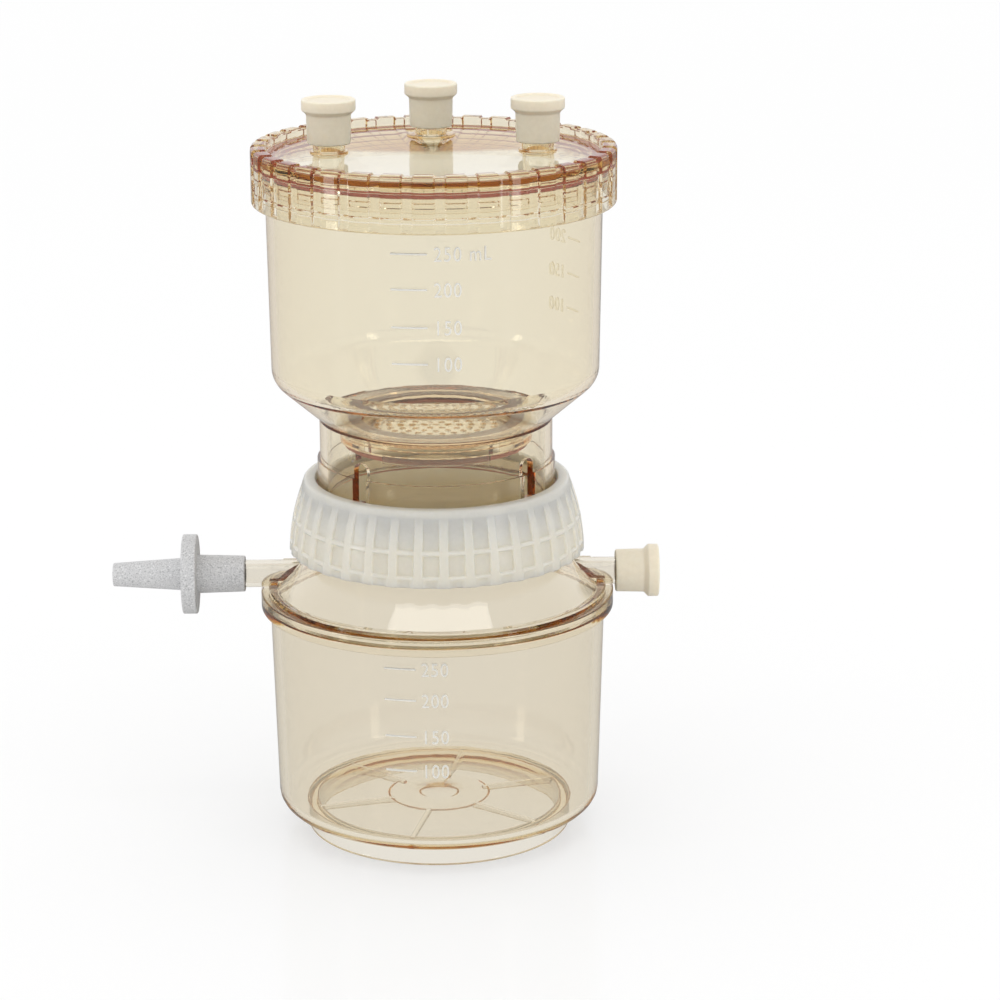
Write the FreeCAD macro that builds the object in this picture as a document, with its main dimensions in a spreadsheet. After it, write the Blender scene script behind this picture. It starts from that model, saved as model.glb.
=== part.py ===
"""Vacuum filtration unit: a lidded upper chamber clamped by a threaded collar to a
receiver with two side arms.

Frame: +Z up, origin at the centre of the foot's underside, side arms along X, the
graduated side towards -Y. Millimetres and degrees. A bearing is an angle about +Z
measured from the graduated side (-Y), positive towards +X.
"""
import math
import os

import FreeCAD
import Part
import Sketcher
from FreeCAD import Placement, Rotation, Vector

SIZES = {
    # receiver bowl
    "weld_flange_radius": 47.0,
    "bowl_flange_reach": 2.4,
    "bowl_draft": 1.5,
    "foot_inset": 7.6,
    "foot_wall": 2.2,
    "foot_height": 6.3,
    "bowl_floor_thickness": 2.0,
    "bowl_wall": 1.9,
    "bowl_side_height": 55.2,
    "bowl_outer_corner": 4.0,
    "bowl_inner_corner": 2.5,
    "bowl_flange_thickness": 2.25,
    "gate_radius": 13.6,
    "gate_thickness": 0.6,
    "gate_dimple_radius": 5.3,
    "floor_rib_count": 6,
    "floor_rib_width": 1.2,
    "floor_rib_depth": 1.4,
    "floor_rib_bearing": -12.0,
    # receiver shoulder
    "shoulder_flange_thickness": 2.25,
    "ledge_inset": 2.0,
    "ledge_height": 1.2,
    "cone_inset": 2.2,
    "cone_rise": 9.6,
    "cone_depth": 2.8,
    "neck_radius": 33.2,
    "neck_wall": 2.7,
    "neck_height": 13.6,
    # side arms
    "arm_rise": 6.15,
    "arm_radius": 3.65,
    "arm_bore_radius": 2.65,
    "arm_boss_radius": 3.95,
    "arm_boss_reserve": 1.8,
    "left_arm_overhang": 15.0,
    "right_arm_overhang": 7.4,
    # seals
    "receiver_gasket_thickness": 1.0,
    "seat_gasket_thickness": 0.8,
    "deck_gap": 0.25,
    "membrane_room": 0.2,
    "plate_ring_section": 1.7,
    "lid_gasket_thickness": 1.1,
    # upper chamber
    "clamp_flange_overhang": 1.1,
    "clamp_flange_thickness": 3.0,
    "skirt_inset": 2.5,
    "skirt_wall": 1.8,
    "skirt_height": 22.2,
    "band_step": 0.7,
    "band_height": 7.9,
    "funnel_rise": 10.6,
    "funnel_depth": 2.35,
    "chamber_draft": 0.8,
    "chamber_side_height": 51.4,
    "chamber_wall": 1.75,
    "chamber_corner": 6.0,
    "rim_reach": 1.45,
    "rim_thickness": 3.9,
    "throat_radius": 19.75,
    "throat_rise": 0.5,
    "seat_floor_drop": 1.0,
    "seat_width": 3.9,
    "seat_tube_wall": 1.85,
    "seat_tube_length": 2.8,
    "seat_lip_thickness": 0.7,
    "seat_groove_height": 1.1,
    "seat_groove_depth": 0.95,
    "slot_count": 4,
    "slot_width": 4.4,
    "slot_height": 10.5,
    "slot_rise": 4.6,
    "slot_bearing": -39.6,
    # support plate
    "plate_rim_thickness": 1.8,
    "plate_deck_thickness": 1.6,
    "plate_ring_inset": 0.8,
    "plate_ring_wall": 2.0,
    "plate_ring_height": 1.7,
    "plate_tab_width": 0.9,
    "plate_tab_height": 1.9,
    "plate_tab_angle": 65.0,
    "lug_angle": 50.0,
    "lug_entry_spare": 6.0,
    "hole_radius": 0.9,
    "hole_pitch": 3.1,
    # locking collar
    "collar_wall": 4.2,
    "collar_thread_room": 1.8,
    "collar_seat_gap": 0.3,
    "collar_seat_height": 3.9,
    "collar_opening_gap": 1.65,
    "collar_top_width": 2.35,
    "collar_height": 19.6,
    "collar_lip_thickness": 2.4,
    "collar_bulge_radius": 52.5,
    "collar_bulge_drop": 1.3,
    "collar_shoulder_drop": 2.5,
    "flute_count": 36,
    "flute_bearing": -1.9,
    "flute_angle": 6.1,
    "flute_depth": 0.6,
    "lower_flute_foot": 3.0,
    "lower_flute_head": 8.6,
    "upper_flute_foot": 9.5,
    "upper_flute_head": 18.2,
    # lid
    "lid_radius": 47.3,
    "lid_wall": 1.75,
    "lid_skirt_gap": 0.35,
    "lid_skirt_depth": 9.9,
    "lid_disc_thickness": 2.6,
    "lid_rim_height": 2.2,
    "lid_rim_width": 3.9,
    "grip_count": 36,
    "grip_angle": 3.4,
    "grip_depth": 0.6,
    "grip_end": 0.8,
    "port_inset": 20.3,
    "port_base_radius": 6.5,
    "port_base_height": 0.8,
    "port_radius": 4.15,
    "port_bore_radius": 3.0,
    "port_height": 9.1,
    "left_port_bearing": -92.0,
    "back_port_bearing": 181.4,
    "right_port_bearing": 95.0,
    # plugs
    "plug_radius": 5.8,
    "plug_taper": 0.15,
    "plug_flange_radius": 7.0,
    "plug_flange_thickness": 2.9,
    "plug_length": 11.5,
    "plug_socket_depth": 6.8,
    # hose adapter
    "adapter_mouth_radius": 4.8,
    "adapter_root_radius": 5.15,
    "adapter_barrel_length": 12.7,
    "adapter_flange_radius": 10.6,
    "adapter_flange_thickness": 3.9,
    "nozzle_root_radius": 4.33,
    "nozzle_tip_radius": 3.08,
    "nozzle_length": 18.6,
    "nozzle_bore_radius": 1.9,
    "adapter_socket_depth": 10.8,
    # clearances and edge rounding
    "running_gap": 0.1,
    "push_fit_gap": 0.05,
    "seal_gap": 0.1,
    "edge_round": 0.4,
    "large_round": 1.0,
}

HOLE_RINGS = 5
OVERRUN = 1.0


class Size:
    """A number together with the sheet expression that gives it."""

    def __init__(self, value, text):
        self.value = float(value)
        self.text = text

    def join(self, sign, other, value):
        return Size(value, "(%s %s %s)" % (self.text, sign, other.text))

    def __add__(self, other):
        other = as_size(other)
        return self.join("+", other, self.value + other.value)

    def __sub__(self, other):
        other = as_size(other)
        return self.join("-", other, self.value - other.value)

    def __mul__(self, other):
        other = as_size(other)
        return self.join("*", other, self.value * other.value)

    def __truediv__(self, other):
        other = as_size(other)
        return self.join("/", other, self.value / other.value)


def as_size(number):
    if isinstance(number, Size):
        return number
    return Size(number, repr(float(number)))


ZERO = as_size(0)


def root(size):
    return Size(math.sqrt(size.value), "sqrt(%s)" % size.text)


def cosine(size):
    return Size(math.cos(math.radians(size.value)), "cos(%s)" % size.text)


def sine(size):
    return Size(math.sin(math.radians(size.value)), "sin(%s)" % size.text)


doc = FreeCAD.newDocument("vacuum_filtration_unit")
sheet = doc.addObject("Spreadsheet::Sheet", "sizes")
for row, (alias, number) in enumerate(SIZES.items(), start=1):
    sheet.set("A%d" % row, alias)
    sheet.set("B%d" % row, str(number))
    sheet.setAlias("B%d" % row, alias)
doc.recompute()


def size(alias):
    return Size(SIZES[alias], "<<sizes>>.%s" % alias)


# Radii of the receiver, from its weld flange inwards.
weld_flange = size("weld_flange_radius")
bowl_top_radius = weld_flange - size("bowl_flange_reach")
bowl_base_radius = bowl_top_radius - size("bowl_draft")
bowl_bore = bowl_top_radius - size("bowl_wall")
foot_radius = bowl_base_radius - size("foot_inset")
ledge_radius = weld_flange - size("ledge_inset")
cone_foot_radius = ledge_radius - size("cone_inset")
boss_reach = cone_foot_radius - size("arm_boss_reserve")
left_arm_reach = weld_flange + size("left_arm_overhang")
right_arm_reach = weld_flange + size("right_arm_overhang")

# Radii of the neck joint, from the receiver's neck.
neck = size("neck_radius")
neck_bore = neck - size("neck_wall")
clamp_flange = neck + size("clamp_flange_overhang")
skirt = neck - size("skirt_inset")
skirt_bore = skirt - size("skirt_wall")
band = skirt + size("band_step")
collar_bore = neck + size("collar_thread_room")
collar_radius = collar_bore + size("collar_wall")
collar_seat_bore = clamp_flange + size("collar_seat_gap")
collar_opening = band + size("collar_opening_gap")
collar_shoulder_radius = collar_opening + size("collar_top_width")

# Radii of the seat, from the throat outwards.
throat = size("throat_radius")
seat_bore = throat + size("seat_width")
seat_tube = seat_bore + size("seat_tube_wall")
seat_groove = seat_bore + size("seat_groove_depth")
deck_radius = seat_bore - size("deck_gap")
plate_rim = seat_tube - size("running_gap")
plate_ring_radius = deck_radius - size("plate_ring_inset")
plate_ring_bore = plate_ring_radius - size("plate_ring_wall")

# Radii of the lid and the chamber's rim and wall, from the lid inwards.
lid_radius = size("lid_radius")
lid_bore = lid_radius - size("lid_wall")
lid_rim_bore = lid_radius - size("lid_rim_width")
rim_radius = lid_bore - size("lid_skirt_gap")
chamber_top_radius = rim_radius - size("rim_reach")
chamber_base_radius = chamber_top_radius - size("chamber_draft")
rim_bore = chamber_top_radius - size("chamber_wall")
port_ring = lid_radius - size("port_inset")

# Heights of the stack, from the foot upwards.
bowl_underside = size("foot_height")
bowl_floor = bowl_underside + size("bowl_floor_thickness")
bowl_flange_foot = bowl_underside + size("bowl_side_height")
weld_seam = bowl_flange_foot + size("bowl_flange_thickness")
shoulder_flange_top = weld_seam + size("shoulder_flange_thickness")
ledge_top = shoulder_flange_top + size("ledge_height")
arm_height = weld_seam + size("arm_rise")
neck_foot = ledge_top + size("cone_rise")
neck_top = neck_foot + size("neck_height")
chamber_foot = neck_top + size("receiver_gasket_thickness")
clamp_flange_top = chamber_foot + size("clamp_flange_thickness")
band_top = clamp_flange_top + size("band_height")
skirt_top = chamber_foot + size("skirt_height")
chamber_side_foot = skirt_top + size("funnel_rise")
rim_foot = chamber_side_foot + size("chamber_side_height")
rim_top = rim_foot + size("rim_thickness")
throat_top = skirt_top + size("throat_rise")
seat_face = skirt_top - size("seat_floor_drop")
seat_tube_foot = seat_face - size("seat_tube_length")
seat_lip_top = seat_tube_foot + size("seat_lip_thickness")
seat_groove_top = seat_lip_top + size("seat_groove_height")
seat_gasket_foot = seat_face - size("seat_gasket_thickness")
plate_top = seat_gasket_foot - size("membrane_room")
plate_rim_top = seat_tube_foot - size("running_gap")
plate_rim_foot = plate_rim_top - size("plate_rim_thickness")
collar_lip_foot = clamp_flange_top + size("running_gap")
collar_top = collar_lip_foot + size("collar_lip_thickness")
collar_foot = collar_top - size("collar_height")
lid_disc_foot = rim_top + size("lid_gasket_thickness")
lid_disc_top = lid_disc_foot + size("lid_disc_thickness")
lid_top = lid_disc_top + size("lid_rim_height")
lid_foot = lid_disc_foot - size("lid_skirt_depth")
port_top = lid_disc_top + size("port_height")


def new_body(label):
    body = doc.addObject("PartDesign::Body", label)
    body.Label = label
    return body


def origin_part(body, role):
    for feature in body.Origin.OriginFeatures:
        if feature.Role == role:
            return feature
    raise ValueError("no origin feature " + role)


def new_sketch(body, name, plane="XZ_Plane", bearing=None, height=None):
    """A sketch on one of the body's own planes.

    On the XZ plane, bearing turns it about Z; on the XY plane, height lifts it.
    """
    sketch = body.newObject("Sketcher::SketchObject", name)
    sketch.AttachmentSupport = [(origin_part(body, plane), "")]
    sketch.MapMode = "FlatFace"
    if bearing is not None:
        turn = bearing - 90
        sketch.AttachmentOffset = Placement(Vector(), Rotation(Vector(0, 1, 0), turn.value))
        sketch.setExpression("AttachmentOffset.Rotation.Angle", turn.text)
    if height is not None:
        sketch.setExpression("AttachmentOffset.Base.z", height.text)
    return sketch


def tie(sketch, kind, first, first_point, second, second_point, distance):
    """Add a driving distance whose value is the size's own expression."""
    index = sketch.addConstraint(
        Sketcher.Constraint(kind, first, first_point, second, second_point, distance.value))
    sketch.setExpression("Constraints[%d]" % index, distance.text)


def tie_point(sketch, edge, point, across, up):
    """Place one end of an edge at (across, up) from the sketch's origin."""
    if across is ZERO:
        sketch.addConstraint(Sketcher.Constraint("PointOnObject", edge, point, -2))
    else:
        tie(sketch, "DistanceX", -1, 1, edge, point, across)
    if up is ZERO:
        sketch.addConstraint(Sketcher.Constraint("PointOnObject", edge, point, -1))
    else:
        tie(sketch, "DistanceY", -1, 1, edge, point, up)


def bulging_arc(start, end, radius):
    """The arc from start to end whose centre lies to their left."""
    middle = (start + end) * 0.5
    chord = end - start
    left = Vector(-chord.y, chord.x, 0).normalize()
    reach = math.sqrt(radius ** 2 - chord.Length ** 2 / 4)
    centre = middle + left * reach
    first = math.atan2(start.y - centre.y, start.x - centre.x)
    last = math.atan2(end.y - centre.y, end.x - centre.x)
    return Part.ArcOfCircle(Part.Circle(centre, Vector(0, 0, 1), radius), first, last)


def outline(sketch, corners):
    """A closed anticlockwise outline through (across, up) corners.

    A corner with a third value starts an outward arc of that radius.
    """
    places = [Vector(corner[0].value, corner[1].value, 0) for corner in corners]
    following = places[1:] + places[:1]
    for corner, here, there in zip(corners, places, following):
        if len(corner) == 3:
            sketch.addGeometry(bulging_arc(here, there, corner[2].value), False)
        else:
            sketch.addGeometry(Part.LineSegment(here, there), False)
    count = len(corners)
    joins = [Sketcher.Constraint("Coincident", edge, 2, (edge + 1) % count, 1)
             for edge in range(count)]
    sketch.addConstraint(joins)
    for edge, corner in enumerate(corners):
        tie_point(sketch, edge, 1, corner[0], corner[1])
        if len(corner) == 3:
            index = sketch.addConstraint(
                Sketcher.Constraint("Radius", edge, corner[2].value))
            sketch.setExpression("Constraints[%d]" % index, corner[2].text)


def box_corners(low_across, low_up, high_across, high_up):
    return [(low_across, low_up), (high_across, low_up),
            (high_across, high_up), (low_across, high_up)]


def turned(body, name, corners, kind="PartDesign::Revolution", angle=None, bearing=None):
    """Turn an outline about Z: a full turn, or a sector centred on a bearing."""
    sketch = new_sketch(body, name + "_outline", bearing=bearing)
    outline(sketch, corners)
    feature = body.newObject(kind, name)
    feature.Profile = sketch
    feature.ReferenceAxis = (origin_part(body, "Z_Axis"), [""])
    feature.Angle = 360
    if angle is not None:
        feature.Midplane = True
        feature.setExpression("Angle", angle.text)
    return feature


def cut_round(body, name, corners, angle=None, bearing=None):
    return turned(body, name, corners, "PartDesign::Groove", angle, bearing)


def repeat_round(body, name, features, count):
    """Repeat features evenly about Z."""
    pattern = body.newObject("PartDesign::PolarPattern", name)
    pattern.Originals = features
    pattern.Axis = (origin_part(body, "Z_Axis"), [""])
    pattern.Angle = 360
    pattern.setExpression("Occurrences", count.text)
    pattern.Refine = False
    body.Tip = pattern
    return pattern


def pad(body, name, sketch, length, reverse=False):
    feature = body.newObject("PartDesign::Pad", name)
    feature.Profile = sketch
    feature.setExpression("Length", length.text)
    feature.Reversed = reverse
    return feature


def cut_through(body, name, sketch, both_ways=False, reverse=False):
    feature = body.newObject("PartDesign::Pocket", name)
    feature.Profile = sketch
    feature.Type = "ThroughAll"
    if both_ways:
        feature.SideType = "Symmetric"
    feature.Reversed = reverse
    return feature


def circle(sketch, radius, across=ZERO, up=ZERO):
    centre = Vector(across.value, up.value, 0)
    edge = sketch.addGeometry(Part.Circle(centre, Vector(0, 0, 1), radius.value), False)
    index = sketch.addConstraint(Sketcher.Constraint("Radius", edge, radius.value))
    sketch.setExpression("Constraints[%d]" % index, radius.text)
    tie_point(sketch, edge, 3, across, up)


def round_rims(body, name, radius, rims):
    """Round the full circular edges that lie at the (radius, height) rims."""
    doc.recompute()
    base = body.Tip
    names = []
    for rim_radius, rim_height in rims:
        found = ["Edge%d" % number for number, edge in enumerate(base.Shape.Edges, start=1)
                 if is_rim(edge, rim_radius.value, rim_height.value)]
        if not found:
            raise ValueError("%s: no edge at %.3f, %.3f"
                             % (name, rim_radius.value, rim_height.value))
        names += found
    fillet = body.newObject("PartDesign::Fillet", name)
    fillet.Base = (base, names)
    fillet.setExpression("Radius", radius.text)
    return fillet


def is_rim(edge, radius, height, tolerance=1e-4):
    if not isinstance(edge.Curve, Part.Circle):
        return False
    centre = edge.Curve.Center
    if abs(edge.Curve.Axis.z) < 0.999 or math.hypot(centre.x, centre.y) > tolerance:
        return False
    return abs(edge.Curve.Radius - radius) < tolerance and abs(centre.z - height) < tolerance


def flat_ring(label, inner, outer, foot, thickness):
    """A flat ring: one cylinder cut from another."""
    body = new_body(label)
    turned(body, label + "_section", box_corners(inner, foot, outer, foot + thickness))
    return body


def make_receiver_bowl():
    """The lower vessel: ring foot, ribbed floor, drafted wall and weld flange."""
    body = new_body("receiver_bowl")
    base = bowl_base_radius
    base_bore = base - size("bowl_wall")
    foot_inside = foot_radius - size("foot_wall")
    gate_face = bowl_underside - size("gate_thickness")
    turned(body, "vessel", [
        (ZERO, bowl_underside),
        (size("gate_dimple_radius"), bowl_underside),
        (size("gate_dimple_radius"), gate_face),
        (size("gate_radius"), gate_face),
        (size("gate_radius"), bowl_underside),
        (foot_inside, bowl_underside),
        (foot_inside, ZERO),
        (foot_radius, ZERO),
        (foot_radius, bowl_underside),
        (base, bowl_underside),
        (bowl_top_radius, bowl_flange_foot),
        (weld_flange, bowl_flange_foot),
        (weld_flange, weld_seam),
        (bowl_bore, weld_seam),
        (base_bore, bowl_floor),
        (ZERO, bowl_floor),
    ])
    round_rims(body, "outer_corner", size("bowl_outer_corner"), [(base, bowl_underside)])
    round_rims(body, "inner_corner", size("bowl_inner_corner"), [(base_bore, bowl_floor)])
    round_rims(body, "small_edges", size("edge_round"),
               [(foot_radius, ZERO), (foot_inside, ZERO), (weld_flange, bowl_flange_foot)])
    ribs = new_sketch(body, "floor_rib_outline", "XY_Plane",
                      height=bowl_underside - size("floor_rib_depth"))
    bearing = size("floor_rib_bearing") - 90
    ribs.AttachmentOffset = Placement(Vector(), Rotation(Vector(0, 0, 1), bearing.value))
    ribs.setExpression("AttachmentOffset.Rotation.Angle", bearing.text)
    half_width = size("floor_rib_width") / 2
    overlap = size("foot_wall") / 2
    outline(ribs, box_corners(size("gate_radius") - overlap, ZERO - half_width,
                              foot_inside + overlap, half_width))
    rib = pad(body, "floor_rib", ribs, size("floor_rib_depth") + overlap)
    repeat_round(body, "floor_ribs", [rib], size("floor_rib_count"))
    return body


def make_receiver_shoulder():
    """The cone, neck and two side arms that are welded onto the bowl."""
    body = new_body("receiver_shoulder")
    slope = size("cone_rise") / (cone_foot_radius - neck)
    turned(body, "outside", [
        (ZERO, weld_seam),
        (weld_flange, weld_seam),
        (weld_flange, shoulder_flange_top),
        (ledge_radius, shoulder_flange_top),
        (ledge_radius, ledge_top),
        (cone_foot_radius, ledge_top),
        (neck, neck_foot),
        (neck, neck_top),
        (ZERO, neck_top),
    ])
    round_rims(body, "outer_edges", size("edge_round"),
               [(weld_flange, shoulder_flange_top), (ledge_radius, ledge_top),
                (neck, neck_top)])
    for side, reach, reverse in (("right", right_arm_reach, False),
                                 ("left", left_arm_reach, True)):
        boss = new_sketch(body, side + "_boss_outline", "YZ_Plane")
        circle(boss, size("arm_boss_radius"), ZERO, arm_height)
        pad(body, side + "_boss", boss, boss_reach, reverse)
        tube = new_sketch(body, side + "_arm_outline", "YZ_Plane")
        circle(tube, size("arm_radius"), ZERO, arm_height)
        pad(body, side + "_arm", tube, reach, reverse)
    below = weld_seam - OVERRUN
    above = neck_top + OVERRUN
    cavity_cone_top = neck_foot - size("cone_depth") + (neck - neck_bore) * slope
    cavity_cone_foot = cavity_cone_top - (bowl_bore - neck_bore) * slope
    cut_round(body, "cavity", [
        (ZERO, below),
        (bowl_bore, below),
        (bowl_bore, cavity_cone_foot),
        (neck_bore, cavity_cone_top),
        (neck_bore, above),
        (ZERO, above),
    ])
    bore = new_sketch(body, "arm_bore_outline", "YZ_Plane")
    circle(bore, size("arm_bore_radius"), ZERO, arm_height)
    body.Tip = cut_through(body, "arm_bores", bore, both_ways=True)
    return body


def make_upper_chamber():
    """The funnel vessel: skirt, clamp flange, seat tube with bayonet lip, and rim."""
    body = new_body("upper_chamber")
    base = chamber_base_radius
    wall = size("chamber_wall")
    slope = size("funnel_rise") / (base - skirt)
    inner_side_foot = chamber_side_foot - slope * wall + size("funnel_depth")
    inner_skirt_foot = skirt_top - slope * size("skirt_wall") + size("funnel_depth")
    turned(body, "vessel", [
        (skirt_bore, chamber_foot),
        (clamp_flange, chamber_foot),
        (clamp_flange, clamp_flange_top),
        (band, clamp_flange_top),
        (band, band_top),
        (skirt, band_top),
        (skirt, skirt_top),
        (base, chamber_side_foot),
        (chamber_top_radius, rim_foot),
        (rim_radius, rim_foot),
        (rim_radius, rim_top),
        (rim_bore, rim_top),
        (base - wall, inner_side_foot),
        (skirt_bore, inner_skirt_foot),
        (throat, throat_top),
        (throat, seat_face),
        (seat_bore, seat_face),
        (seat_bore, seat_groove_top),
        (seat_groove, seat_groove_top),
        (seat_groove, seat_lip_top),
        (seat_bore, seat_lip_top),
        (seat_bore, seat_tube_foot),
        (seat_tube, seat_tube_foot),
        (seat_tube, seat_face),
        (skirt_bore, seat_face),
    ])
    round_rims(body, "outer_corner", size("chamber_corner"), [(base, chamber_side_foot)])
    round_rims(body, "inner_corner", size("chamber_corner") - wall,
               [(base - wall, inner_side_foot)])
    round_rims(body, "small_edges", size("edge_round"),
               [(clamp_flange, chamber_foot), (clamp_flange, clamp_flange_top),
                (rim_radius, rim_foot), (rim_radius, rim_top), (rim_bore, rim_top),
                (throat, throat_top)])
    entry = cut_round(body, "lug_entry",
                      box_corners(seat_bore - size("seat_groove_depth"),
                                  seat_tube_foot - OVERRUN,
                                  seat_groove, seat_lip_top + size("running_gap")),
                      angle=size("lug_angle") + size("lug_entry_spare"), bearing=as_size(90))
    repeat_round(body, "lug_entries", [entry], as_size(2))
    half_width = size("slot_width") / 2
    slot_foot = chamber_foot + size("slot_rise")
    slot_head = slot_foot + size("slot_height") - half_width
    across_slot = size("slot_bearing") + 90
    side = new_sketch(body, "slot_side_outline", bearing=across_slot)
    outline(side, box_corners(ZERO - half_width, slot_foot, half_width, slot_head))
    head = new_sketch(body, "slot_head_outline", bearing=across_slot)
    circle(head, half_width, ZERO, slot_head)
    cuts = [cut_through(body, "slot_side", side, reverse=True),
            cut_through(body, "slot_head", head, reverse=True)]
    repeat_round(body, "slots", cuts, size("slot_count"))
    return body


def make_support_plate():
    """The perforated plate that twists into the chamber's seat tube."""
    body = new_body("support_plate")
    deck_foot = plate_top - size("plate_deck_thickness")
    ring_foot = plate_rim_foot - size("plate_ring_height")
    turned(body, "plate", [
        (ZERO, deck_foot),
        (plate_ring_bore, deck_foot),
        (plate_ring_bore, ring_foot),
        (plate_ring_radius, ring_foot),
        (plate_ring_radius, plate_rim_foot),
        (plate_rim, plate_rim_foot),
        (plate_rim, plate_rim_top),
        (deck_radius, plate_rim_top),
        (deck_radius, plate_top),
        (ZERO, plate_top),
    ])
    overlap = size("plate_tab_width") / 2
    lug_foot = seat_lip_top + size("running_gap")
    lug = turned(body, "lug",
                 box_corners(deck_radius - overlap, lug_foot,
                             seat_groove - size("running_gap"),
                             plate_top - size("running_gap")),
                 angle=size("lug_angle"), bearing=ZERO)
    tab = turned(body, "tab",
                 box_corners(plate_rim - size("plate_tab_width"),
                             plate_rim_foot - size("plate_tab_height"),
                             plate_rim, plate_rim_foot + overlap),
                 angle=size("plate_tab_angle"), bearing=ZERO)
    repeat_round(body, "lugs_and_tabs", [lug, tab], as_size(2))
    centre = new_sketch(body, "centre_hole_outline", "XY_Plane", height=plate_top)
    circle(centre, size("hole_radius"))
    cut_through(body, "centre_hole", centre)
    for ring_number in range(1, HOLE_RINGS + 1):
        hole = new_sketch(body, "hole_%d_outline" % ring_number, "XY_Plane", height=plate_top)
        circle(hole, size("hole_radius"), size("hole_pitch") * ring_number)
        cut = cut_through(body, "hole_%d" % ring_number, hole)
        repeat_round(body, "hole_ring_%d" % ring_number, [cut], as_size(6 * ring_number))
    return body


def make_plate_ring():
    """The round silicone ring that is stretched over the plate below its rim."""
    label = "plate_ring"
    torus = doc.addObject("Part::Torus", label)
    torus.Label = label
    section = size("plate_ring_section") / 2
    centre_radius = plate_ring_radius + size("seal_gap") + section
    torus.setExpression("Radius1", centre_radius.text)
    torus.setExpression("Radius2", section.text)
    torus.setExpression("Placement.Base.z", (plate_rim_foot - size("seal_gap") - section).text)
    return torus


def make_seals():
    """The flat silicone rings on the neck, under the seat and under the lid."""
    gap = size("seal_gap")
    return [
        flat_ring("receiver_gasket", neck_bore + gap, neck - gap,
                  neck_top, size("receiver_gasket_thickness")),
        flat_ring("seat_gasket", throat + gap, seat_bore - gap,
                  seat_gasket_foot, size("seat_gasket_thickness")),
        flat_ring("lid_gasket", rim_bore + gap, rim_radius,
                  rim_top, size("lid_gasket_thickness")),
    ]


def collar_radius_at(height):
    """The collar's barrelled outside, at a height above its foot."""
    bulge = size("collar_bulge_radius")
    rise = height + size("collar_bulge_drop")
    return collar_radius - bulge + root(bulge * bulge - rise * rise)


def flute_corners(low, high):
    """The section of one flute, between two heights above the collar's foot."""
    depth = size("flute_depth")
    outside = collar_radius + OVERRUN
    return [
        (collar_radius_at(low) - depth, collar_foot + low),
        (outside, collar_foot + low),
        (outside, collar_foot + high),
        (collar_radius_at(high) - depth, collar_foot + high),
    ]


def make_locking_collar():
    """The white ring that clamps the chamber's flange down onto the neck."""
    body = new_body("locking_collar")
    shoulder_height = size("collar_height") - size("collar_shoulder_drop")
    seat_foot = collar_lip_foot - size("collar_seat_height")
    shoulder = collar_radius_at(shoulder_height)
    foot_edge = collar_radius_at(ZERO)
    seam = size("flute_bearing") + as_size(180) / size("flute_count")
    turned(body, "ring", [
        (collar_bore, collar_foot),
        (foot_edge, collar_foot, size("collar_bulge_radius")),
        (shoulder, collar_foot + shoulder_height),
        (collar_shoulder_radius, collar_top),
        (collar_opening, collar_top),
        (collar_opening, collar_lip_foot),
        (collar_seat_bore, collar_lip_foot),
        (collar_seat_bore, seat_foot),
        (collar_bore, seat_foot),
    ], bearing=seam)
    round_rims(body, "shoulder_round", size("large_round"),
               [(collar_shoulder_radius, collar_top),
                (shoulder, collar_foot + shoulder_height)])
    round_rims(body, "small_edges", size("edge_round"),
               [(foot_edge, collar_foot), (collar_opening, collar_top)])
    cuts = []
    for name, low, high in (
            ("lower_flute", size("lower_flute_foot"), size("lower_flute_head")),
            ("upper_flute", size("upper_flute_foot"), size("upper_flute_head"))):
        cuts.append(cut_round(body, name, flute_corners(low, high),
                              angle=size("flute_angle"), bearing=size("flute_bearing")))
    repeat_round(body, "flutes", cuts, size("flute_count"))
    return body


def make_cover_lid():
    """The amber lid: recessed disc, toothed grip rim and three ports."""
    body = new_body("cover_lid")
    turned(body, "cap", [
        (ZERO, lid_disc_foot),
        (lid_bore, lid_disc_foot),
        (lid_bore, lid_foot),
        (lid_radius, lid_foot),
        (lid_radius, lid_top),
        (lid_rim_bore, lid_top),
        (lid_rim_bore, lid_disc_top),
        (ZERO, lid_disc_top),
    ])
    round_rims(body, "top_round", size("large_round"), [(lid_radius, lid_top)])
    round_rims(body, "small_edges", size("edge_round"),
               [(lid_radius, lid_foot), (lid_rim_bore, lid_top)])
    bearings = (("left", size("left_port_bearing")), ("back", size("back_port_bearing")),
                ("right", size("right_port_bearing")))
    overlap = size("lid_disc_thickness") / 2
    for side, bearing in bearings:
        across = port_ring * sine(bearing)
        up = ZERO - port_ring * cosine(bearing)
        for part, radius, height in (
                ("base", size("port_base_radius"), size("port_base_height")),
                ("stub", size("port_radius"), size("port_height"))):
            sketch = new_sketch(body, "%s_port_%s_outline" % (side, part), "XY_Plane",
                                height=lid_disc_top - overlap)
            circle(sketch, radius, across, up)
            pad(body, "%s_port_%s" % (side, part), sketch, height + overlap)
    for side, bearing in bearings:
        bore = new_sketch(body, side + "_port_bore_outline", "XY_Plane", height=port_top)
        circle(bore, size("port_bore_radius"), port_ring * sine(bearing),
               ZERO - port_ring * cosine(bearing))
        cut_through(body, side + "_port_bore", bore)
    depth = size("grip_depth")
    grip_foot = lid_foot + size("grip_end")
    grip = cut_round(body, "grip", [
        (lid_radius - depth, grip_foot),
        (lid_radius + OVERRUN, grip_foot),
        (lid_radius + OVERRUN, lid_top + OVERRUN),
        (lid_rim_bore - OVERRUN, lid_top + OVERRUN),
        (lid_rim_bore - OVERRUN, lid_top - depth),
        (lid_radius - depth, lid_top - depth),
    ], angle=size("grip_angle"), bearing=size("grip_angle") / 2)
    repeat_round(body, "grips", [grip], size("grip_count"))
    return body


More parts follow.
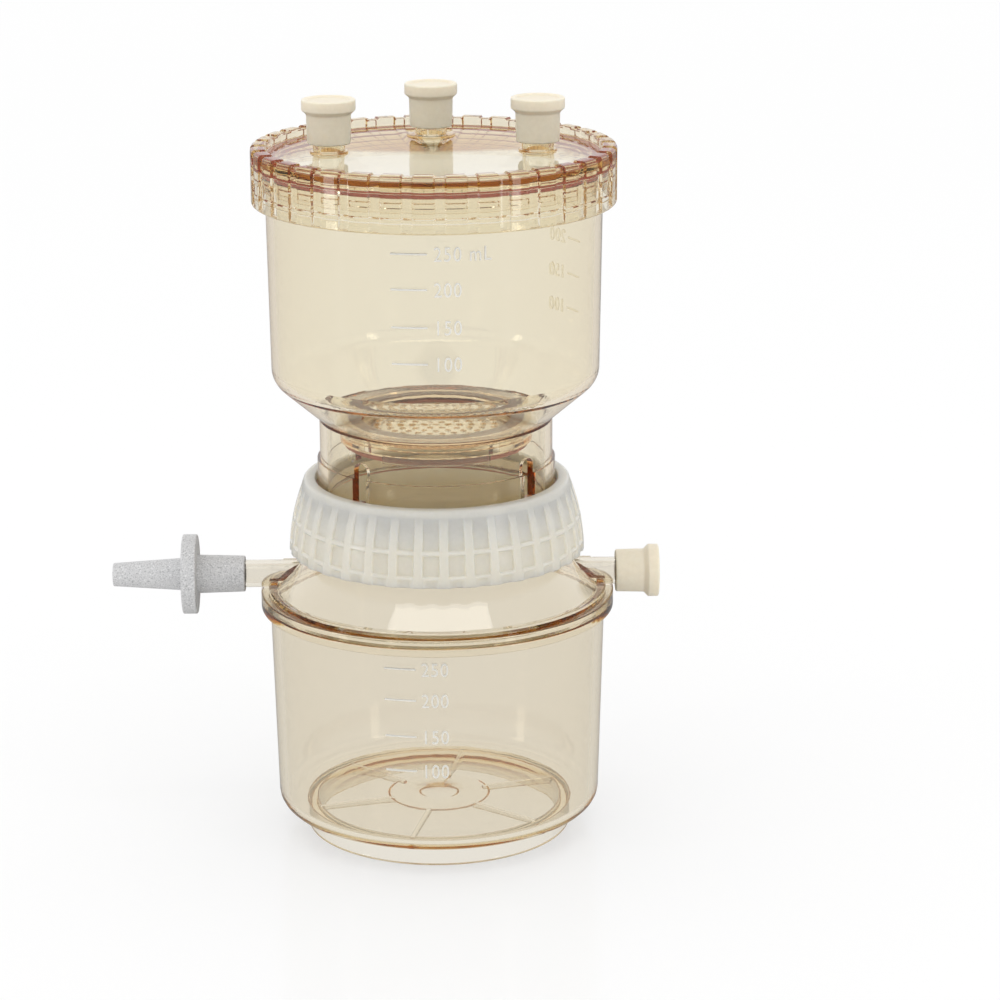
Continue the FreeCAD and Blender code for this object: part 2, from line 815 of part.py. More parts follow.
def make_plug(label, socket_radius):
    """A push-on plug: its mouth is at its own origin and it points along its own Z."""
    body = new_body(label)
    bore = socket_radius + size("push_fit_gap")
    mouth = size("plug_radius") - size("plug_taper")
    barrel = size("plug_radius")
    flange = size("plug_flange_radius")
    length = size("plug_length")
    flange_foot = length - size("plug_flange_thickness")
    depth = size("plug_socket_depth")
    turned(body, "stopper", [
        (bore, ZERO),
        (mouth, ZERO),
        (barrel, flange_foot),
        (flange, flange_foot),
        (flange, length),
        (ZERO, length),
        (ZERO, depth),
        (bore, depth),
    ])
    round_rims(body, "edges", size("edge_round"),
               [(mouth, ZERO), (flange, flange_foot), (flange, length)])
    return body


def make_lid_plugs():
    """One plug on each port of the lid."""
    plugs = []
    mouth = port_top - size("plug_socket_depth")
    for side in ("left", "back", "right"):
        bearing = size(side + "_port_bearing")
        plug = make_plug("lid_plug_" + side, size("port_radius"))
        plug.setExpression("Placement.Base.x", (port_ring * sine(bearing)).text)
        plug.setExpression("Placement.Base.y", (ZERO - port_ring * cosine(bearing)).text)
        plug.setExpression("Placement.Base.z", mouth.text)
        plugs.append(plug)
    return plugs


def lay_along_arm(body, reach, quarter_turn):
    """Turn a body's own Z along the arm and put its origin at (reach, arm height)."""
    body.Placement = Placement(Vector(), Rotation(Vector(0, 1, 0), quarter_turn))
    body.setExpression("Placement.Base.x", reach.text)
    body.setExpression("Placement.Base.z", arm_height.text)


def make_side_plug():
    """The plug on the right arm."""
    plug = make_plug("side_plug", size("arm_radius"))
    lay_along_arm(plug, right_arm_reach - size("plug_socket_depth"), 90)
    return plug


def make_hose_adapter():
    """The grey hose nozzle with a disc flange, pushed onto the left arm."""
    body = new_body("hose_adapter")
    socket = size("arm_radius") + size("push_fit_gap")
    bore = size("nozzle_bore_radius")
    depth = size("adapter_socket_depth")
    flange_foot = size("adapter_barrel_length")
    flange_top = flange_foot + size("adapter_flange_thickness")
    tip = flange_top + size("nozzle_length")
    flange = size("adapter_flange_radius")
    turned(body, "nozzle", [
        (socket, ZERO),
        (size("adapter_mouth_radius"), ZERO),
        (size("adapter_root_radius"), flange_foot),
        (flange, flange_foot),
        (flange, flange_top),
        (size("nozzle_root_radius"), flange_top),
        (size("nozzle_tip_radius"), tip),
        (bore, tip),
        (bore, depth),
        (socket, depth),
    ])
    round_rims(body, "edges", size("edge_round"),
               [(size("adapter_mouth_radius"), ZERO), (flange, flange_foot),
                (flange, flange_top), (size("nozzle_tip_radius"), tip)])
    lay_along_arm(body, ZERO - left_arm_reach + depth, -90)
    return body


def check_document():
    """Stop if any object failed, or if a cut took nothing away."""
    for item in doc.Objects:
        if "Invalid" in item.State or "Error" in item.State:
            raise RuntimeError("%s: %s" % (item.Label, item.State))
        if item.TypeId in ("PartDesign::Groove", "PartDesign::Pocket"):
            before = item.BaseFeature.Shape.Volume
            if before - item.Shape.Volume < 1e-3:
                raise RuntimeError("%s cuts nothing" % item.Label)


def write_part(node):
    """Write one sub-part under its own name, once its shape is sound."""
    if node.Shape.isNull() or not node.Shape.isValid():
        raise RuntimeError("%s has no valid shape" % node.Label)
    node.Shape.exportStep("parts/%s.step" % node.Label)


nodes = [
    make_receiver_bowl(),
    make_receiver_shoulder(),
    make_upper_chamber(),
    make_support_plate(),
    make_plate_ring(),
    make_locking_collar(),
    make_cover_lid(),
    make_side_plug(),
    make_hose_adapter(),
]
nodes += make_seals()
nodes += make_lid_plugs()
doc.recompute()
check_document()

os.makedirs("parts", exist_ok=True)
for node in nodes:
    write_part(node)
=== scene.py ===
"""Looks of the vacuum filtration unit: clear amber mouldings with raised graduations,
silicone seals, a white ribbed collar, pale plugs and a speckled grey hose nozzle.

Lengths below are in millimetres and become metres in the mesh helpers. A bearing is
an angle in degrees about +Z, from the graduated side (-Y) towards +X.
"""
import math

import bmesh
import bpy
from mathutils import Matrix, Vector


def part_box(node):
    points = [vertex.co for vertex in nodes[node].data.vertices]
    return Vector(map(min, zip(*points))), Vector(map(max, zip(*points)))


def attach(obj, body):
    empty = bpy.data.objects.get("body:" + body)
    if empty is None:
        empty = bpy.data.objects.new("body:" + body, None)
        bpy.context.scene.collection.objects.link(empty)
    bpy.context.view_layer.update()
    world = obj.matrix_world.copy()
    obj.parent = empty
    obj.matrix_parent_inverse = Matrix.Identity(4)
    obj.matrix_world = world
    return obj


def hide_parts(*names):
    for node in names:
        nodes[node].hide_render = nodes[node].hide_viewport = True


MM = 0.001

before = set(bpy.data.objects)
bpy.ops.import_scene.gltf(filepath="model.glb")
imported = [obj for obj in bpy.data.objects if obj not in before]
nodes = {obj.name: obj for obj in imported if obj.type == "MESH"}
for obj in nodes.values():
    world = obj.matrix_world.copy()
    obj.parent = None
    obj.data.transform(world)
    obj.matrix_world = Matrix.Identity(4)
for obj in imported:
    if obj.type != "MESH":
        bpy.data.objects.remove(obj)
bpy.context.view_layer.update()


def corners_mm(node):
    """A CAD node's lowest and highest corners in millimetres."""
    low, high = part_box(node)
    return low / MM, high / MM


# ---------------------------------------------------------------- mesh helpers

def rounded(corners, steps=5):
    """Profile points through (radius, height, rounding) corners; each rounding is an arc."""
    points = []
    count = len(corners)
    for index, corner in enumerate(corners):
        here = Vector(corner[:2])
        radius = corner[2] if len(corner) > 2 else 0
        if not radius:
            points.append(here)
            continue
        back = (Vector(corners[index - 1][:2]) - here).normalized()
        ahead = (Vector(corners[(index + 1) % count][:2]) - here).normalized()
        half = back.angle(ahead) / 2
        centre = here + (back + ahead).normalized() * (radius / math.sin(half))
        start = here + back * (radius / math.tan(half)) - centre
        sweep = start.angle_signed(here + ahead * (radius / math.tan(half)) - centre)
        for step in range(steps + 1):
            points.append(centre + Matrix.Rotation(-sweep * step / steps, 2) @ start)
    return points


def even_bearings(count):
    return [360 * index / count for index in range(count)]


def place(radius, bearing, height):
    """A point in millimetres at a bearing about the unit's axis."""
    angle = math.radians(bearing)
    return Vector((radius * math.sin(angle), -radius * math.cos(angle), height))


def new_object(name, bm, smooth_angle=35):
    """Make a mesh object from a bmesh in millimetres, smooth but for its sharp edges."""
    bmesh.ops.remove_doubles(bm, verts=bm.verts, dist=1e-5)
    bmesh.ops.recalc_face_normals(bm, faces=bm.faces)
    bmesh.ops.scale(bm, vec=(MM, MM, MM), verts=bm.verts)
    mesh = bpy.data.meshes.new(name)
    bm.to_mesh(mesh)
    bm.free()
    thing = bpy.data.objects.new(name, mesh)
    bpy.context.scene.collection.objects.link(thing)
    smooth(thing, smooth_angle)
    return thing


def smooth(thing, angle=35):
    thing.data.shade_smooth()
    thing.data.set_sharp_from_angle(angle=math.radians(angle))


def turned(name, profile, bearings, shape=None):
    """Turn a closed profile of (radius, height) points about the unit's axis.

    shape(index, point, bearing) may return a moved point.
    """
    bm = bmesh.new()
    rings = []
    for index, point in enumerate(profile):
        if abs(point[0]) < 1e-6:
            rings.append([bm.verts.new((0, 0, point[1]))] * len(bearings))
            continue
        ring = []
        for bearing in bearings:
            moved = shape(index, point, bearing) if shape else point
            ring.append(bm.verts.new(place(moved[0], bearing, moved[1])))
        rings.append(ring)
    for index, ring in enumerate(rings):
        after = rings[(index + 1) % len(rings)]
        for step in range(len(bearings)):
            near = (step + 1) % len(bearings)
            quad = []
            for vert in (ring[step], ring[near], after[near], after[step]):
                if vert not in quad:
                    quad.append(vert)
            if len(quad) > 2:
                bm.faces.new(quad)
    return new_object(name, bm)


def prism(name, outline, low, high, frame_matrix=None):
    """A straight prism on a flat outline of (across, along) points, from low to high."""
    bm = bmesh.new()
    bottom = [bm.verts.new((x, y, low)) for x, y in outline]
    top = [bm.verts.new((x, y, high)) for x, y in outline]
    bm.faces.new(bottom)
    bm.faces.new(top)
    for index in range(len(outline)):
        after = (index + 1) % len(outline)
        bm.faces.new((bottom[index], bottom[after], top[after], top[index]))
    if frame_matrix:
        bmesh.ops.transform(bm, matrix=frame_matrix, verts=bm.verts)
    return new_object(name, bm)


def circle_outline(radius, count):
    turn = 2 * math.pi / count
    return [(radius * math.cos(turn * k), radius * math.sin(turn * k)) for k in range(count)]


def join_shapes(target, tools, operation):
    """Unite, or cut away, tools from a target, and leave one clean mesh."""
    for tool in tools:
        modifier = target.modifiers.new("join", "BOOLEAN")
        modifier.operation = operation
        modifier.solver = "EXACT"
        modifier.object = tool
    depsgraph = bpy.context.evaluated_depsgraph_get()
    mesh = bpy.data.meshes.new_from_object(target.evaluated_get(depsgraph))
    target.modifiers.clear()
    target.data = mesh
    for tool in tools:
        bpy.data.objects.remove(tool)
    smooth(target)
    return target


def unite(target, *tools):
    return join_shapes(target, tools, "UNION")


def carve(target, *tools):
    return join_shapes(target, tools, "DIFFERENCE")


# ------------------------------------------------------------------- materials

class Nodes:
    """Shorthand for building one material's node tree."""

    def __init__(self, name):
        self.material = bpy.data.materials.new(name)
        self.material.use_nodes = True
        self.tree = self.material.node_tree
        self.shader = self.tree.nodes["Principled BSDF"]
        self.out = self.tree.nodes["Material Output"]

    def add(self, kind, **values):
        node = self.tree.nodes.new(kind)
        for key, value in values.items():
            if hasattr(node, key):
                setattr(node, key, value)
            else:
                node.inputs[key.replace("_", " ")].default_value = value
        return node

    def link(self, source, socket, target, into):
        self.tree.links.new(source.outputs[socket], target.inputs[into])

    def noise(self, scale, detail):
        """Noise in object space, scale in features per metre."""
        where = self.add("ShaderNodeTexCoord")
        noise = self.add("ShaderNodeTexNoise", Scale=scale, Detail=detail)
        self.link(where, "Object", noise, "Vector")
        return noise

    def ramp(self, source, socket, stops):
        ramp = self.add("ShaderNodeValToRGB")
        elements = ramp.color_ramp.elements
        while len(elements) < len(stops):
            elements.new(0.5)
        for element, (position, colour) in zip(elements, stops):
            element.position = position
            element.color = (*colour, 1)
        self.link(source, socket, ramp, "Fac")
        return ramp

    def bump(self, source, socket, strength, distance):
        bump = self.add("ShaderNodeBump", Strength=strength, Distance=distance)
        self.link(source, socket, bump, "Height")
        self.link(bump, "Normal", self.shader, "Normal")

    def set(self, **values):
        for key, value in values.items():
            self.shader.inputs[key.replace("_", " ")].default_value = value


def grey(level):
    return (level, level, level)


def vary_roughness(kit, noise, low, high):
    ramp = kit.ramp(noise, "Fac", [(0.3, grey(low)), (0.7, grey(high))])
    kit.link(ramp, "Color", kit.shader, "Roughness")


def clear_amber(name, tint, colour, density):
    """Polished amber plastic: a little light goes at each wall, and blue goes with depth."""
    kit = Nodes(name)
    kit.set(Base_Color=(*tint, 1), Transmission_Weight=1.0, IOR=1.6)
    noise = kit.noise(260, 2)
    vary_roughness(kit, noise, 0.012, 0.03)
    kit.bump(noise, "Fac", 0.02, 0.0004)
    volume = kit.add("ShaderNodeVolumeAbsorption", Density=density)
    volume.inputs["Color"].default_value = (*colour, 1)
    kit.link(volume, "Volume", kit.out, "Volume")
    return kit.material


def marks_painted_highlight():
    """The raised marks and digits on the graduated side: their pale, half-clear colour is a
    painted highlight, and they are dull.
    """
    kit = Nodes("amber_marks_painted_highlight")
    # Painted highlight: the marks are pale and half-clear instead of clear amber.
    kit.set(Base_Color=(0.96, 0.94, 0.87, 1), Transmission_Weight=0.2, IOR=1.5)
    noise = kit.noise(1800, 2)
    vary_roughness(kit, noise, 0.4, 0.55)
    kit.bump(noise, "Fac", 0.1, 0.0002)
    return kit.material


def moulded(name, colour, other, roughness, subsurface=0.0, grain=900, depth=0.0015):
    """Opaque moulded plastic or rubber with a little change of tone and gloss."""
    kit = Nodes(name)
    noise = kit.noise(grain, 3)
    ramp = kit.ramp(noise, "Fac", [(0.35, other), (0.65, colour)])
    kit.link(ramp, "Color", kit.shader, "Base Color")
    vary_roughness(kit, noise, roughness - 0.04, roughness + 0.04)
    kit.bump(noise, "Fac", 0.02, 0.0002)
    if subsurface:
        kit.set(Subsurface_Weight=subsurface, Subsurface_Scale=depth, IOR=1.49)
        kit.shader.inputs["Subsurface Radius"].default_value = (1.0, 0.9, 0.75)
    return kit.material


def speckled_grey():
    kit = Nodes("grey_speckled")
    noise = kit.noise(2600, 1)
    ramp = kit.ramp(noise, "Fac", [(0.30, (0.42, 0.42, 0.43)), (0.42, (0.62, 0.62, 0.625)),
                                   (0.62, (0.68, 0.68, 0.685)), (0.74, (0.86, 0.86, 0.865))])
    kit.link(ramp, "Color", kit.shader, "Base Color")
    vary_roughness(kit, noise, 0.40, 0.5)
    kit.bump(noise, "Fac", 0.08, 0.0002)
    return kit.material


amber = clear_amber("amber_clear", (0.95, 0.943, 0.875), (0.867, 0.55, 0.1), 60.0)
amber_below = clear_amber("amber_receiver", (0.897, 0.875, 0.833), (0.883, 0.692, 0.217), 60.0)
amber_lid = clear_amber("amber_lid", (0.94, 0.92, 0.835), (0.8, 0.583, 0.133), 60.0)
# Pale raised marks on the graduated side, a painted highlight.
painted_highlight_marks = marks_painted_highlight()
white = moulded("white_moulded", (0.80, 0.74, 0.63), (0.78, 0.72, 0.61), 0.2, 1.0, depth=0.009)
plug_pale = moulded("plug_pale", (0.90, 0.82, 0.665), (0.87, 0.79, 0.635), 0.42, 0.5)
fitting_grey = speckled_grey()
silicone_pink = moulded("silicone_pink", (0.72, 0.30, 0.22), (0.68, 0.27, 0.19), 0.45, 0.3)
silicone_red = moulded("silicone_red", (0.66, 0.16, 0.11), (0.60, 0.14, 0.09), 0.5, 0.1)


def finish_with(thing, material, slot, body=None, *replaced):
    """Give a piece its look and let it ride on its body; the slot is not used."""
    thing.data.materials.clear()
    thing.data.materials.append(material)
    for polygon in thing.data.polygons:
        polygon.material_index = 0
    if body:
        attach(thing, body)
    if replaced:
        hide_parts(*replaced)
    return thing


# ---------------------------------------------------------------- the receiver

SEAM_GAP = 0.05       # clear solids that touch are shown this far apart
RELIEF = 0.4          # how far marks and digits stand out
UNDERSIDE = 6.3       # the bowl's floor, from below
FLANGE_FOOT = 61.5    # where the bowl's side meets its flange
BOWL_FOOT_RADIUS = 43.1


def make_bowl():
    high = corners_mm("receiver_bowl")[1]
    edge, top = high[0], high[2] - SEAM_GAP
    profile = rounded([
        (0, UNDERSIDE), (5.0, UNDERSIDE, 0.25), (5.3, 5.75, 0.25), (13.4, 5.75, 0.25),
        (13.8, UNDERSIDE, 0.25), (33.3, UNDERSIDE, 0.5), (33.3, 0, 0.5), (35.5, 0, 0.6),
        (35.5, UNDERSIDE, 0.5), (BOWL_FOOT_RADIUS, UNDERSIDE, 4.0),
        (edge - 2.4, FLANGE_FOOT, 0.5), (edge, FLANGE_FOOT, 0.5), (edge, top, 0.3),
        (edge - 4.3, top, 0.2), (41.2, 8.3, 2.5), (0, 8.3)])
    bowl = turned("bowl_clear", profile, even_bearings(288))
    ribs = []
    for number in range(6):
        turn = Matrix.Rotation(math.radians(-12 - 90 + 60 * number), 4, "Z")
        outline = [(12.6, -0.6), (34.0, -0.6), (34.0, 0.6), (12.6, 0.6)]
        ribs.append(prism("rib", outline, 4.9, 7.0, turn))
    return unite(bowl, *ribs)


# -------------------------------------------------------- graduations and digits

def wall_radius(z, foot, foot_radius, top, top_radius):
    return foot_radius + (z - foot) * (top_radius - foot_radius) / (top - foot)


def bend_onto(bm, wall, bearing, height):
    """Lay flat shapes (across, up, out) round a wall at a bearing and height."""
    for vert in bm.verts:
        across, up, out = vert.co
        radius = wall(height + up)
        vert.co = place(radius + out, bearing + math.degrees(across / radius), height + up)


def mark_bar(wall, first, last, height):
    """One graduation line: a low ridge from bearing first to last."""
    radius = wall(height)
    length = math.radians(last - first) * radius
    steps = 24
    section = [(-0.27, SEAM_GAP), (0.27, SEAM_GAP), (0.16, RELIEF), (-0.16, RELIEF)]
    bm = bmesh.new()
    rings = []
    for step in range(steps + 1):
        across = length * step / steps
        rings.append([bm.verts.new((across, up, out)) for up, out in section])
    for ring, after in zip(rings, rings[1:]):
        for side in range(4):
            near = (side + 1) % 4
            bm.faces.new((ring[side], ring[near], after[near], after[side]))
    bm.faces.new(rings[0])
    bm.faces.new(rings[-1])
    bend_onto(bm, wall, first, height)
    return bm


def digits(text, wall, first, middle_height, tall):
    """Raised digits that begin at bearing first."""
    font = bpy.data.curves.new("digits", "FONT")
    font.body = text
    font.size = tall / 0.69
    font.extrude = (RELIEF - SEAM_GAP) / 2
    font.space_character = 1.12
    holder = bpy.data.objects.new("digits", font)
    bpy.context.scene.collection.objects.link(holder)
    bpy.context.view_layer.update()
    mesh = bpy.data.meshes.new_from_object(holder.evaluated_get(
        bpy.context.evaluated_depsgraph_get()))
    bpy.data.objects.remove(holder)
    bm = bmesh.new()
    bm.from_mesh(mesh)
    bpy.data.meshes.remove(mesh)
    bmesh.ops.remove_doubles(bm, verts=bm.verts, dist=1e-4)
    bmesh.ops.triangulate(bm, faces=bm.faces)
    bmesh.ops.scale(bm, vec=(0.84, 1, 1), verts=bm.verts)
    bmesh.ops.translate(bm, vec=(0, -tall / 2, (RELIEF + SEAM_GAP) / 2), verts=bm.verts)
    bend_onto(bm, wall, first, middle_height)
    return bm


def make_scale(name, wall, levels, marks, digits_from, tall):
    """A column of graduation lines with their digits, as one raised piece."""
    whole = bpy.data.meshes.new("whole")
    bm = bmesh.new()
    for height, text in levels:
        for part in (mark_bar(wall, marks[0], marks[1], height),
                     digits(text, wall, digits_from, height, tall)):
            part.to_mesh(whole)
            bm.from_mesh(whole)
            part.free()
    bpy.data.meshes.remove(whole)
    return new_object(name, bm, 20)


def bowl_wall(z):
    return wall_radius(z, UNDERSIDE, BOWL_FOOT_RADIUS, FLANGE_FOOT, 44.6)


def chamber_wall(z):
    return wall_radius(z, 124.2, 42.95, 175.6, 43.75)


BOWL_LEVELS = ((57.5, "250"), (49.0, "200"), (39.05, "150"), (29.6, "100"))
CHAMBER_LEVELS = ((165.35, "250 mL"), (156.3, "200"), (146.65, "150"), (137.3, "100"))


# ------------------------------------------------------------------ the collar

FLUTES = 36
PITCH = 360 / FLUTES
COLLAR_BULGE = 39.2       # the collar's largest radius, at its foot
COLLAR_ARC = 52.5         # radius of the curve that its side follows
COLLAR_OPENING = 32.1
COLLAR_LIP = 2.3          # height of the lip round the opening


def soft_step(value, low, high):
    """0 below low, 1 above high, and a smooth ramp between."""
    share = min(max((value - low) / (high - low), 0), 1)
    return share * share * (3 - 2 * share)


def from_nearest(bearing, centre):
    """The angle to the nearest of the evenly spaced places about centre."""
    return (bearing - centre + PITCH / 2) % PITCH - PITCH / 2


def uneven_bearings(centre, offsets):
    return [centre + PITCH * k + offset for k in range(FLUTES) for offset in offsets]


COLLAR_OFFSETS = (-5, -4.3, -3.75, -3.5, -3.35, -3.2, -3.0, -2.5, -1.5, 0, 1.5, 2.5, 3.0, 3.2,
                  3.35, 3.5, 3.75, 4.3)
FLUTE_CENTRE = -2.4


def make_collar():
    low, high = corners_mm("locking_collar")
    foot, top = low[2], high[2]

    def outside(z):
        rise = z - foot + 1.3
        return COLLAR_BULGE - COLLAR_ARC + math.sqrt(COLLAR_ARC ** 2 - rise ** 2)

    side = [foot + 0.15, foot + 0.5] + [foot + 0.5 + 0.25 * k for k in range(1, 67)]
    shoulder = rounded([(outside(side[-1]), side[-1]), (outside(foot + 17.6), foot + 17.6, 0.9),
                        (35.0, top, 1.0), (COLLAR_OPENING, top, 0.45),
                        (COLLAR_OPENING, top - COLLAR_LIP)])
    inside = rounded([(COLLAR_OPENING, top - COLLAR_LIP), (34.6, top - COLLAR_LIP, 0.1),
                      (34.6, 90.6), (35.0, 90.4), (35.0, foot, 0.3), (outside(foot), foot)])
    profile = [(outside(z), z) for z in side] + [tuple(p) for p in shoulder[1:]] \
        + [tuple(p) for p in inside[1:-1]]

    def shape(index, point, bearing):
        radius, z = point
        if index >= len(side) + 4:
            return point
        away = abs(from_nearest(bearing, FLUTE_CENTRE))
        across = 1 - soft_step(away, 3.0, 3.5)
        lower = soft_step(z, foot + 2.8, foot + 3.3) * (1 - soft_step(z, foot + 8.3, foot + 8.8))
        upper = soft_step(z, foot + 9.4, foot + 9.8) * (1 - soft_step(z, foot + 14, foot + 18.4))
        notch = 0.8 * (1 - soft_step(z, foot + 1.9, foot + 2.4)) * (1 - soft_step(away, 2.2, 2.7))
        return (radius - 0.6 * max(across * lower, across * upper, notch), z)

    return turned("collar_ribbed", profile, uneven_bearings(FLUTE_CENTRE, COLLAR_OFFSETS), shape)


# --------------------------------------------------------------------- the lid

GRIP_CENTRE = 1.7
GRIP_OFFSETS = (-5, -3.6, -2.7, -2.25, -2.0, -1.75, -1.5, -1.2, 0, 1.2, 1.5, 1.75, 2.0, 2.25,
                2.7, 3.6)


def make_lid():
    low, high = corners_mm("cover_lid")
    edge, foot = high[0], low[2]
    under = corners_mm("lid_gasket")[1][2] - 0.03
    disc, top = under + 2.55, foot + 14.7
    port_top = under + 11.65
    bore, seal = edge - 1.75, corners_mm("lid_gasket")[1][0]
    profile = rounded([
        (0, under + 0.8), (seal - 4.3, under + 0.8, 0.2), (seal - 4.1, under), (bore, under, 0.2),
        (bore, under - 2.0), (bore + 0.5, under - 2.3), (bore + 0.5, under - 3.3),
        (bore, under - 3.6), (bore, foot + 4.0), (bore + 0.6, foot + 3.6),
        (bore + 0.6, foot + 2.8), (bore, foot + 2.4), (bore, foot, 0.3), (edge, foot, 0.5),
        (edge, foot + 1.4), (edge, top, 1.1), (edge - 3.9, top, 0.5),
        (edge - 3.9, disc, 0.5), (0, disc)])

    def shape(index, point, bearing):
        radius, z = point
        away = abs(from_nearest(bearing, GRIP_CENTRE))
        across = 1 - soft_step(away, 1.4, 2.05)
        if radius > edge - 0.7 and z > foot + 0.6:
            radius -= 0.6 * across * soft_step(z, foot + 0.6, foot + 1.3)
        if z > top - 1.2 and radius > edge - 4.2:
            z -= 0.45 * across
        if bore + 0.1 < radius < edge - 0.7 and z > under - 3.5:
            radius -= 0.5 * across
        return (radius, z)

    lid = turned("lid_clear", profile, uneven_bearings(GRIP_CENTRE, GRIP_OFFSETS), shape)
    stubs, bores = [], []
    for bearing, base in ((-92.0, 5.0), (181.4, 6.5), (95.0, 5.0)):
        centre = place(edge - 20.3, bearing, 0)
        stub = turned("stub", rounded([
            (0, disc - 1), (base, disc - 1), (base, disc + 0.5, 0.3), (4.15, disc + 0.5, 0.3),
            (4.15, port_top, 0.3), (0, port_top)]), even_bearings(64))
        stub.data.transform(Matrix.Translation(centre * MM))
        stubs.append(stub)
        bores.append(prism("bore", circle_outline(3.0, 64), under - 1, port_top + 1,
                           Matrix.Translation(centre)))
    unite(lid, *stubs)
    return carve(lid, *bores)


# -------------------------------------------------------------------- the plugs

def make_stopper(name, node):
    """A push-on plug with a dished top, standing on its mouth where the CAD plug is."""
    low, high = corners_mm(node)
    upright = high[2] - low[2] < high[0] - low[0]
    middle = (low + high) / 2
    length = min(high[2] - low[2], high[0] - low[0])
    bore = 4.2 if upright else 3.7
    profile = rounded([
        (0, length - 4.6), (bore, length - 4.6), (bore, 0), (5.65, 0, 0.5),
        (5.8, length - 3.9, 0.8), (7.0, length - 2.8, 0.5), (7.0, length, 0.45),
        (5.9, length, 0.4), (5.3, length - 0.5, 0.6), (0, length - 0.75)])
    stopper = turned(name, profile, even_bearings(72))
    if upright:
        stand = Matrix.Translation(Vector((middle[0], middle[1], low[2])) * MM)
    else:
        stand = Matrix.Translation(Vector((low[0], middle[1], middle[2])) * MM) \
            @ Matrix.Rotation(math.radians(90), 4, "Y")
    stopper.data.transform(stand)
    return stopper


for name, material, slot in (
        ("receiver_shoulder", amber_below, "amber_polysulfone"),
        ("upper_chamber", amber, "amber_polysulfone"),
        ("support_plate", amber, "amber_polysulfone"),
        ("receiver_gasket", silicone_pink, "pink_silicone"),
        ("seat_gasket", silicone_pink, "pink_silicone"),
        ("lid_gasket", silicone_red, "red_silicone"),
        ("plate_ring", silicone_pink, "pink_silicone"),
        ("hose_adapter", fitting_grey, "grey_fitting")):
    finish_with(nodes[name], material, slot)

finish_with(make_bowl(), amber_below, "amber_polysulfone", "receiver", "receiver_bowl")
finish_with(make_lid(), amber_lid, "amber_polysulfone", "lid", "cover_lid")
finish_with(make_collar(), white, "white_polypropylene", "collar", "locking_collar")
for name, body, node in (("stopper_left", "left_plug", "lid_plug_left"),
                         ("stopper_back", "back_plug", "lid_plug_back"),
                         ("stopper_right", "right_plug", "lid_plug_right"),
                         ("stopper_arm", "arm_plug", "side_plug")):
    finish_with(make_stopper(name, node), plug_pale, "pale_plug", body, node)
for name, wall, levels, marks, start, tall, body in (
        ("bowl_scale", bowl_wall, BOWL_LEVELS, (-18, -7.4), -5.7, 3.6, "receiver"),
        ("chamber_scale_front", chamber_wall, CHAMBER_LEVELS, (-14.5, -2.5), -0.5, 3.6, "chamber"),
        ("chamber_scale_back", chamber_wall, CHAMBER_LEVELS, (112, 121), 123, 3.6, "chamber")):
    # The near marks get the painted highlight; the far ones stay clear amber.
    look = amber if name == "chamber_scale_back" else painted_highlight_marks
    finish_with(make_scale(name, wall, levels, marks, start, tall), look,
                "amber_polysulfone", body)


# ------------------------------------------------------ floor, light and camera

def ray_share(tree, shares):
    """The share that goes with the kind of ray, through Light Path."""
    path = tree.nodes.new("ShaderNodeLightPath")
    total = None
    for ray, share in shares:
        part = tree.nodes.new("ShaderNodeMath")
        part.operation = "MULTIPLY"
        part.inputs[1].default_value = share
        tree.links.new(path.outputs[ray], part.inputs[0])
        if total:
            both = tree.nodes.new("ShaderNodeMath")
            both.operation = "MAXIMUM"
            tree.links.new(total.outputs[0], both.inputs[0])
            tree.links.new(part.outputs[0], both.inputs[1])
            part = both
        total = part
    return total.outputs[0]


def make_floor():
    """A plain white table, lit a little from below so that its shadow stays pale."""
    bm = bmesh.new()
    bmesh.ops.create_grid(bm, x_segments=1, y_segments=1, size=6000)
    floor = new_object("floor", bm)
    kit = Nodes("floor_pale")
    kit.set(Base_Color=(0.96, 0.96, 0.96, 1), Roughness=0.12)
    surface = kit.shader.outputs["BSDF"]
    for strength, shares in (
            (0.3, (("Is Glossy Ray", 0.85),)),
            (1.0, (("Is Camera Ray", 0.6), ("Is Transmission Ray", 0.9)))):
        glow = kit.add("ShaderNodeEmission", Color=(1, 1, 1, 1), Strength=strength)
        mix = kit.add("ShaderNodeMixShader")
        kit.tree.links.new(ray_share(kit.tree, shares), mix.inputs[0])
        kit.tree.links.new(surface, mix.inputs[1])
        kit.tree.links.new(glow.outputs["Emission"], mix.inputs[2])
        surface = mix.outputs["Shader"]
    kit.tree.links.new(surface, kit.out.inputs["Surface"])
    floor.data.materials.append(kit.material)


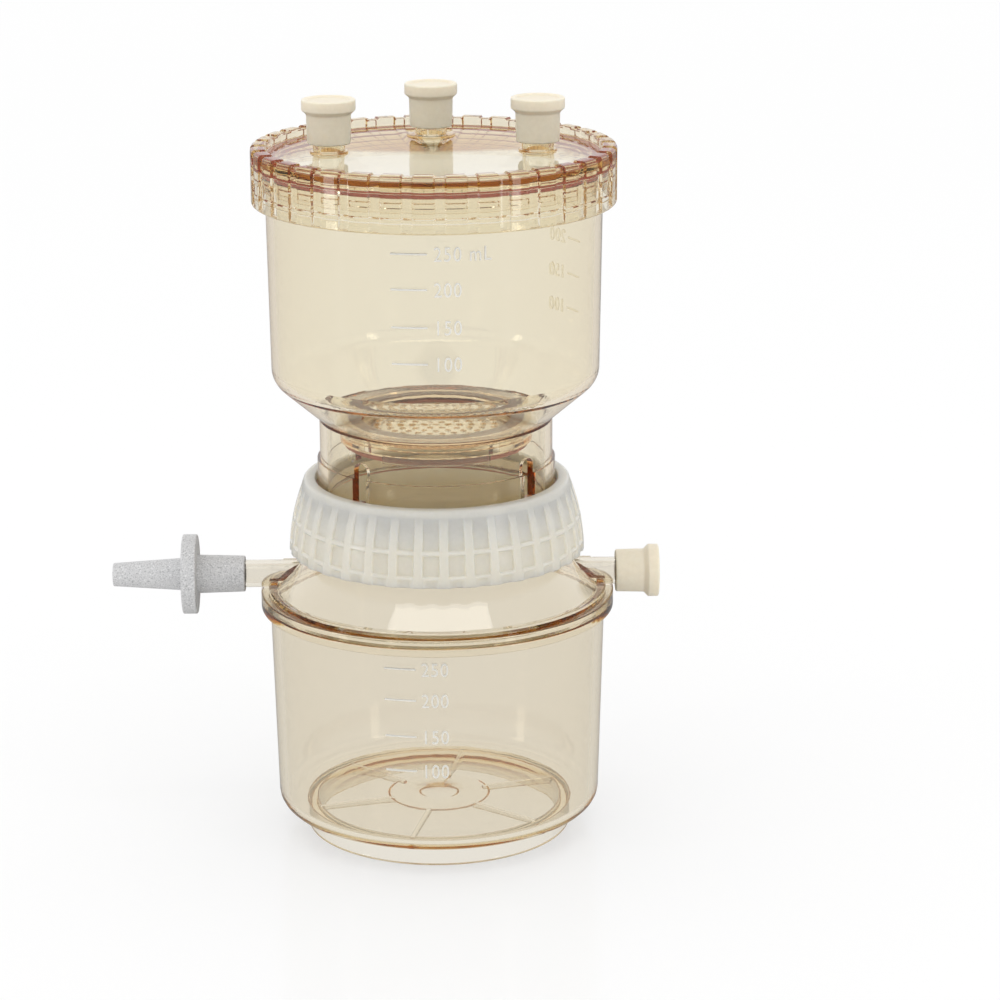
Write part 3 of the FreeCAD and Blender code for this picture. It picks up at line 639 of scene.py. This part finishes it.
def make_light():
    """An even white room and three soft panels.

    Mirror reflections alone see the room dimmer overhead and away from the backdrop.
    """
    world = bpy.data.worlds.new("studio")
    bpy.context.scene.world = world
    world.use_nodes = True
    tree = world.node_tree
    background = tree.nodes["Background"]
    background.inputs["Color"].default_value = (1, 1, 1, 1)
    where = tree.nodes.new("ShaderNodeTexCoord")
    direction = tree.nodes.new("ShaderNodeSeparateXYZ")
    tree.links.new(where.outputs["Generated"], direction.inputs["Vector"])
    rays = tree.nodes.new("ShaderNodeLightPath").outputs

    def fall(axis, first, last, most):
        """A loss that grows from none at first to most at last along an axis."""
        node = tree.nodes.new("ShaderNodeMapRange")
        node.interpolation_type = "SMOOTHSTEP"
        for socket, value in zip(("From Min", "From Max", "To Max"), (first, last, most)):
            node.inputs[socket].default_value = value
        node.inputs["To Min"].default_value = 0
        tree.links.new(direction.outputs[axis], node.inputs["Value"])
        return node.outputs["Result"]

    def combine(operation, first, second):
        node = tree.nodes.new("ShaderNodeMath")
        node.operation = operation
        for socket, source in zip(node.inputs, (first, second)):
            if isinstance(source, float):
                socket.default_value = source
            else:
                tree.links.new(source, socket)
        return node.outputs[0]

    ceiling, sides = fall("Z", 0.35, 0.75, 0.5), fall("Y", 0.8, 0.3, 0.4)
    outside = combine("SUBTRACT", 1.0, rays["Is Transmission Ray"])
    mirrored = combine("MULTIPLY", rays["Is Glossy Ray"], outside)
    loss = combine("MULTIPLY", combine("MAXIMUM", ceiling, sides), mirrored)
    tree.links.new(combine("SUBTRACT", 1.0, loss), background.inputs["Strength"])
    for name, wide, tall, watts, towards in (
            ("overhead", 0.92, 0.15, 0.75, (0.02, -0.31, 0.95)),
            ("strip_left", 0.14, 0.9, 1.1, (-0.98, -0.43, 0.12)),
            ("strip_right", 0.14, 0.9, 0.9, (0.82, -0.69, 0.12))):
        lamp = bpy.data.lights.new(name, "AREA")
        lamp.shape = "RECTANGLE"
        lamp.size, lamp.size_y, lamp.energy = wide, tall, watts
        panel = bpy.data.objects.new(name, lamp)
        away = Vector(towards)
        panel.location = Vector((0, 0, 0.09)) + away
        panel.rotation_euler = away.to_track_quat("Z", "Y").to_euler()
        bpy.context.scene.collection.objects.link(panel)
        panel.visible_camera = False


def make_camera():
    data = bpy.data.cameras.new("camera")
    data.lens = 117.7
    data.sensor_width = 36
    camera = bpy.data.objects.new("camera", data)
    camera.location = (0, -0.835, 0.3295)
    camera.rotation_euler = (math.radians(73.98), math.radians(0.16), math.radians(-1.20))
    bpy.context.scene.collection.objects.link(camera)
    bpy.context.scene.camera = camera


make_floor()
make_light()
make_camera()

scene = bpy.context.scene
scene.view_settings.view_transform = "Standard"
CLEAR_BOUNCES = 64    # light crosses many clear walls, and inner reflections count as glossy
scene.cycles.max_bounces = CLEAR_BOUNCES
scene.cycles.transmission_bounces = CLEAR_BOUNCES
scene.cycles.glossy_bounces = CLEAR_BOUNCES
scene.cycles.transparent_max_bounces = 24
